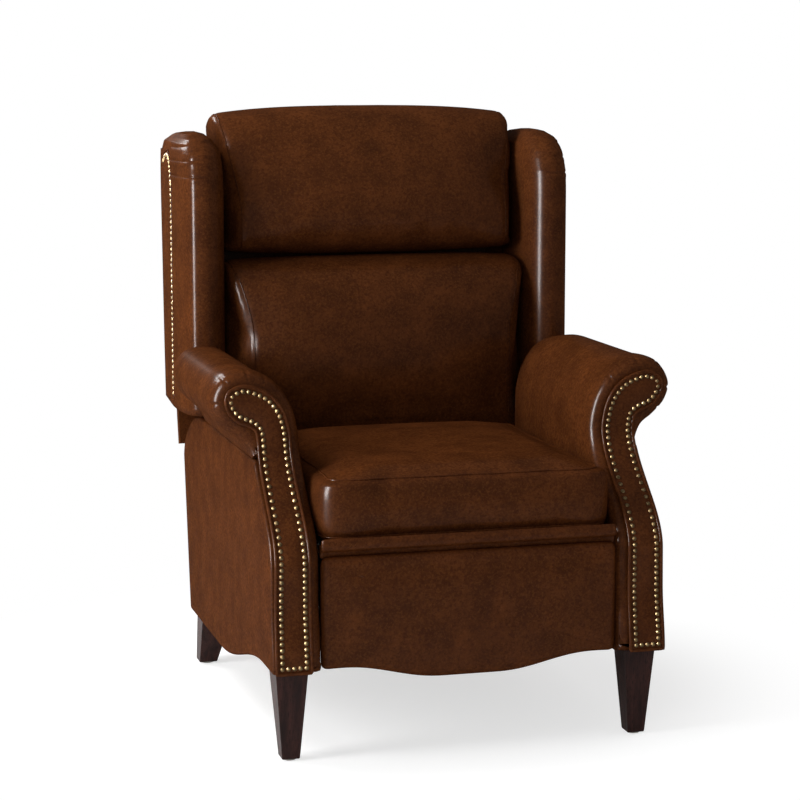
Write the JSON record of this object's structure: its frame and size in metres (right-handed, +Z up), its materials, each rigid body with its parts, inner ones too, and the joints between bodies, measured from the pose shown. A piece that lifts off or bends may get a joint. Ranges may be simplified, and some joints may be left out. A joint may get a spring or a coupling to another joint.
{
  "type": "wingback_recliner",
  "caption": "Push-back wingback recliner in brown leather with scroll arms, brass nail trim, tapered dark legs, a sliding seat and a scissor footrest linkage.",
  "frame": {"origin": "On the floor under the middle of the chair's width and depth", "axes": "+Z up, the seat faces -Y, +X is the left arm of someone seated in it"},
  "size_m": [0.8364, 0.962, 1.0914],
  "materials": {
    "leather": "semi-gloss, mottled brown",
    "leather_dark": "semi-gloss, darker brown",
    "fabric_black": "woven platform cloth",
    "wood_dark": "dark stain, satin lacquer",
    "wood_frame": "raw frame timber and plywood",
    "steel_black": "satin black",
    "steel_bright": "zinc plated",
    "brass_antique": "aged, domed",
    "nylon": "moulded"
  },
  "bodies": {
    "base": {"front_leg_left": "wood_dark", "front_leg_right": "wood_dark", "rear_leg_left": "wood_dark", "rear_leg_right": "wood_dark", "foot_glides": "nylon", "corner_blocks": "wood_frame", "arm_panel_left": "wood_frame", "arm_panel_right": "wood_frame", "arm_left": "leather", "arm_right": "leather", "arm_facing_left": "leather_dark", "arm_facing_right": "leather_dark", "arm_welt_left": "leather_dark", "arm_welt_right": "leather_dark", "arm_nails_left": "brass_antique", "arm_nails_right": "brass_antique", "side_wall_left": "leather", "side_wall_right": "leather", "cross_rail": "wood_frame", "rear_rail": "leather", "base_plate_left": "steel_black", "base_plate_right": "steel_black", "base_bolts": "steel_bright"},
    "back": {"back_frame": "wood_frame", "back_springs": "steel_bright", "inside_back": "leather_dark", "back_top": "leather", "outside_back": "leather", "wing_left": "leather", "wing_right": "leather", "wing_welts": "leather_dark", "wing_nails": "brass_antique", "lumbar_cushion": "leather", "head_cushion": "leather", "back_bracket_left": "steel_black", "back_bracket_right": "steel_black", "back_bolts": "steel_bright"},
    "seat": {"seat_frame": "wood_frame", "seat_springs": "steel_bright", "seat_deck": "fabric_black", "seat_band": "leather", "seat_cushion": "leather", "seat_plate_left": "steel_black", "seat_plate_right": "steel_black", "seat_bolts": "steel_bright", "slide_rollers": "nylon"},
    "link_a": {"torque_tube": "steel_black", "lower_link_left": "steel_black", "lower_link_right": "steel_black"},
    "link_b": {"crossing_link_left": "steel_black", "crossing_link_right": "steel_black"},
    "link_c": {"upper_link_left": "steel_black", "upper_link_right": "steel_black"},
    "link_d": {"front_link_left": "steel_black", "front_link_right": "steel_black"},
    "control": {"control_links": "steel_black"},
    "footrest": {"footrest_bracket_left": "steel_black", "footrest_bracket_right": "steel_black", "footrest_board": "wood_frame", "footrest_pad": "leather"}
  },
  "joints": [
    {"name": "back_recline", "type": "hinge", "parent": "base", "child": "back", "pos_m": [0, 0.229, 0.405], "axis": [-1, 0, 0], "range_deg": [0, 32]},
    {"name": "seat_slide", "type": "slide", "parent": "base", "child": "seat", "axis": [0, -1, 0], "range_m": [0, 0.04135]},
    {"name": "footrest_extend", "type": "hinge", "parent": "seat", "child": "link_a", "pos_m": [0, -0.366, 0.154], "axis": [1, 0, 0], "range_deg": [0, 60]},
    {"name": "scissor_cross", "type": "hinge", "parent": "link_a", "child": "link_b", "pos_m": [0, -0.35972, 0.24378], "axis": [-1, 0, 0], "range_deg": [0, 120]},
    {"name": "scissor_front", "type": "hinge", "parent": "link_a", "child": "link_d", "pos_m": [0, -0.35344, 0.33356], "axis": [-1, 0, 0], "range_deg": [0, 120]},
    {"name": "scissor_upper", "type": "hinge", "parent": "link_b", "child": "link_c", "pos_m": [0, -0.3905, 0.15921], "axis": [1, 0, 0], "range_deg": [0, 120]},
    {"name": "footrest_turn", "type": "hinge", "parent": "link_c", "child": "footrest", "pos_m": [0, -0.37795, 0.33877], "axis": [-1, 0, 0], "range_deg": [0, 141.4]},
    {"name": "control_turn", "type": "hinge", "parent": "link_d", "child": "control", "pos_m": [0, -0.39216, 0.18537], "axis": [1, 0, 0], "range_deg": [0, 114.3]}
  ],
  "couplings": [
    {"joint": "seat_slide", "follows": "back_recline", "m_per_rad": 0.074029},
    {"joint": "scissor_cross", "follows": "footrest_extend", "ratio": 2},
    {"joint": "scissor_front", "follows": "footrest_extend", "ratio": 2},
    {"joint": "scissor_upper", "follows": "footrest_extend", "ratio": 2},
    {"joint": "footrest_turn", "follows": "footrest_extend", "ratio": 2.3567},
    {"joint": "control_turn", "follows": "footrest_extend", "ratio": 1.905}
  ]
}
